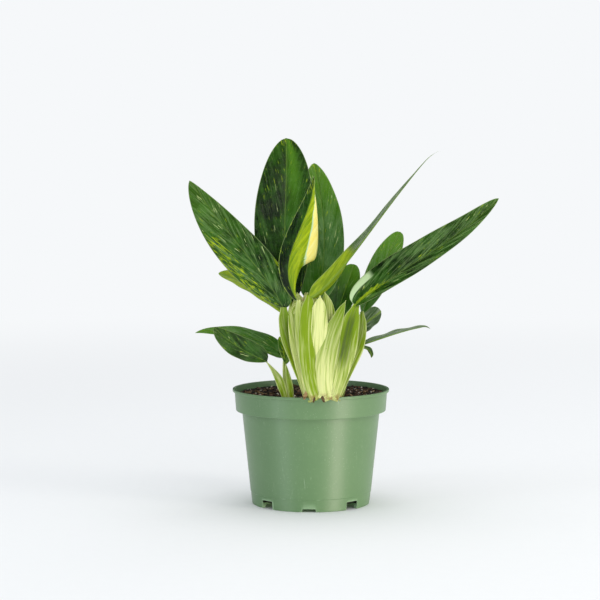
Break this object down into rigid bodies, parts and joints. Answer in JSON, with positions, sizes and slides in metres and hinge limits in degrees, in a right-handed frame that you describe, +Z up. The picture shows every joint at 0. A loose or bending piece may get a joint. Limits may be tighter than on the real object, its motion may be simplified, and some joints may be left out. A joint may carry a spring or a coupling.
{
  "type": "potted variegated monstera",
  "caption": "Young variegated foliage plant with lance-shaped leaves on winged leaf stalks, in potting mix in a round ribbed-rim nursery pot.",
  "frame": {"origin": "on the pot's axis, at the level of the surface the pot stands on", "axes": "+Z up the pot's axis, +X to the plant's right as seen from its leafy front, +Y to the back, away from the side where the plant grows"},
  "size_m": [0.2936, 0.1665, 0.3543],
  "materials": {
    "pot_plastic": "satin",
    "potting_mix": "matte",
    "leaf_dark": "satin",
    "leaf_young": "satin",
    "sheath": "satin",
    "sheath_pale": "satin",
    "root": "matte"
  },
  "bodies": {
    "root": {"aerial_root_left": "root", "aerial_root_middle": "root", "aerial_root_right": "root", "leaf_blade_back": "leaf_dark", "leaf_blade_back_right": "leaf_dark", "leaf_blade_left": "leaf_dark", "leaf_blade_left_lower": "leaf_young", "leaf_blade_low_left_back": "leaf_dark", "leaf_blade_low_left_front": "leaf_dark", "leaf_blade_low_left_young": "leaf_dark", "leaf_blade_low_right_round": "leaf_dark", "leaf_blade_low_right_thin": "leaf_dark", "leaf_blade_low_right_tip": "leaf_dark", "leaf_blade_mid_back": "leaf_dark", "leaf_blade_new": "leaf_young", "leaf_blade_right_big": "leaf_dark", "leaf_blade_right_small": "leaf_dark", "leaf_blade_right_thin": "leaf_dark", "leaf_blade_tall": "leaf_dark", "nursery_pot": "pot_plastic", "petiole_back": "sheath", "petiole_back_right": "sheath", "petiole_left": "sheath", "petiole_left_lower": "sheath", "petiole_low_left_back": "sheath", "petiole_low_left_front": "sheath", "petiole_low_left_young": "sheath", "petiole_low_right_round": "sheath", "petiole_low_right_thin": "sheath", "petiole_low_right_tip": "sheath", "petiole_mid_back": "sheath", "petiole_new": "sheath", "petiole_right_big": "sheath", "petiole_right_small": "sheath", "petiole_right_thin": "sheath", "petiole_tall": "sheath", "plant_crown": "sheath", "potting_mix": "potting_mix", "sheath_broad": "sheath", "sheath_cream": "sheath_pale", "sheath_pointed": "sheath", "shoot_base_left": "sheath", "shoot_base_right": "sheath"}
  },
  "joints": []
}
